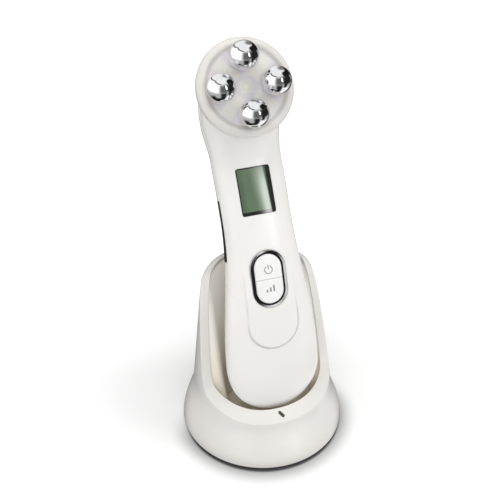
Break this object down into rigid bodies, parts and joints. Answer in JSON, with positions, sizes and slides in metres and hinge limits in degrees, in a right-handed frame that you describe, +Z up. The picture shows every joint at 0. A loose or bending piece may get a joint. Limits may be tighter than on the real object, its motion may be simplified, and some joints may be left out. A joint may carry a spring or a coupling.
{
  "type": "facial toning device",
  "caption": "Hand-held facial toning device with a round electrode head, display and two-part key, standing in a flared charging base.",
  "frame": {"origin": "centre of the anti-slip pad's underside, on the table, on the stand's upright axis", "axes": "+Z up; the front with the display and keys faces -Y; X runs across, with the device symmetric about X = 0"},
  "size_m": [0.0904, 0.1123, 0.2122],
  "materials": {
    "body_white": "gloss",
    "stand_white": "gloss",
    "liner_white": "satin",
    "lens_milk": "gloss",
    "electrode_chrome": "mirror",
    "trim_chrome": "mirror",
    "steel": "plain",
    "board": "satin",
    "chip_cream": "gloss",
    "window": "gloss",
    "display": "satin",
    "white_inner": "satin",
    "key_white": "gloss",
    "black_plastic": "satin",
    "strip_black": "satin",
    "winding": "satin",
    "cell_wrap": "gloss",
    "contact_gold": "polished",
    "indicator": "gloss",
    "pad_rubber": "matte"
  },
  "bodies": {
    "stand": {"stand_shell": "stand_white", "stand_liner": "liner_white", "bottom_plate": "white_inner", "ballast_plate": "steel", "charge_board": "board", "dc_inlet": "black_plastic", "pin_barrel_left": "contact_gold", "pin_barrel_right": "contact_gold", "indicator_window": "indicator", "indicator_led": "chip_cream", "base_pad": "pad_rubber", "plate_screws": "steel"},
    "handset": {"front_cover": "body_white", "back_cover": "body_white", "head_lens": "lens_milk", "electrode_top": "electrode_chrome", "electrode_right": "electrode_chrome", "electrode_bottom": "electrode_chrome", "electrode_left": "electrode_chrome", "electrode_nuts": "steel", "led_board": "board", "led_chips": "chip_cream", "lcd_window": "window", "lcd_panel": "display", "lcd_backlight": "white_inner", "key_surround": "trim_chrome", "power_switch": "black_plastic", "mode_switch": "black_plastic", "grip_strip_left": "strip_black", "grip_strip_right": "strip_black", "main_board": "board", "controller_chip": "black_plastic", "pulse_transformer": "winding", "buzzer": "black_plastic", "battery": "cell_wrap", "charge_pads": "contact_gold", "board_screws": "steel", "case_screws": "steel"},
    "power_key_body": {"power_key": "key_white", "power_plunger": "white_inner"},
    "mode_key_body": {"mode_key": "key_white", "mode_plunger": "white_inner"},
    "pin_left_body": {"charge_pin_left": "contact_gold"},
    "pin_right_body": {"charge_pin_right": "contact_gold"}
  },
  "joints": [
    {"name": "handset_lift", "type": "slide", "parent": "stand", "child": "handset", "axis": [0, 0.2079, 0.9781], "range_m": [0, 0.12]},
    {"name": "power_key_press", "type": "slide", "parent": "handset", "child": "power_key_body", "axis": [0, 0.9239, -0.3826], "range_m": [0, 0.0004], "stiffness_N_per_m": 1500, "springref_m": -0.0004},
    {"name": "mode_key_press", "type": "slide", "parent": "handset", "child": "mode_key_body", "axis": [0, 0.9239, -0.3826], "range_m": [0, 0.0004], "stiffness_N_per_m": 1500, "springref_m": -0.0004},
    {"name": "pin_left_spring", "type": "slide", "parent": "stand", "child": "pin_left_body", "axis": [0, 0, 1], "range_m": [-0.0008, 0], "stiffness_N_per_m": 300, "springref_m": 0.0008},
    {"name": "pin_right_spring", "type": "slide", "parent": "stand", "child": "pin_right_body", "axis": [0, 0, 1], "range_m": [-0.0008, 0], "stiffness_N_per_m": 300, "springref_m": 0.0008}
  ]
}
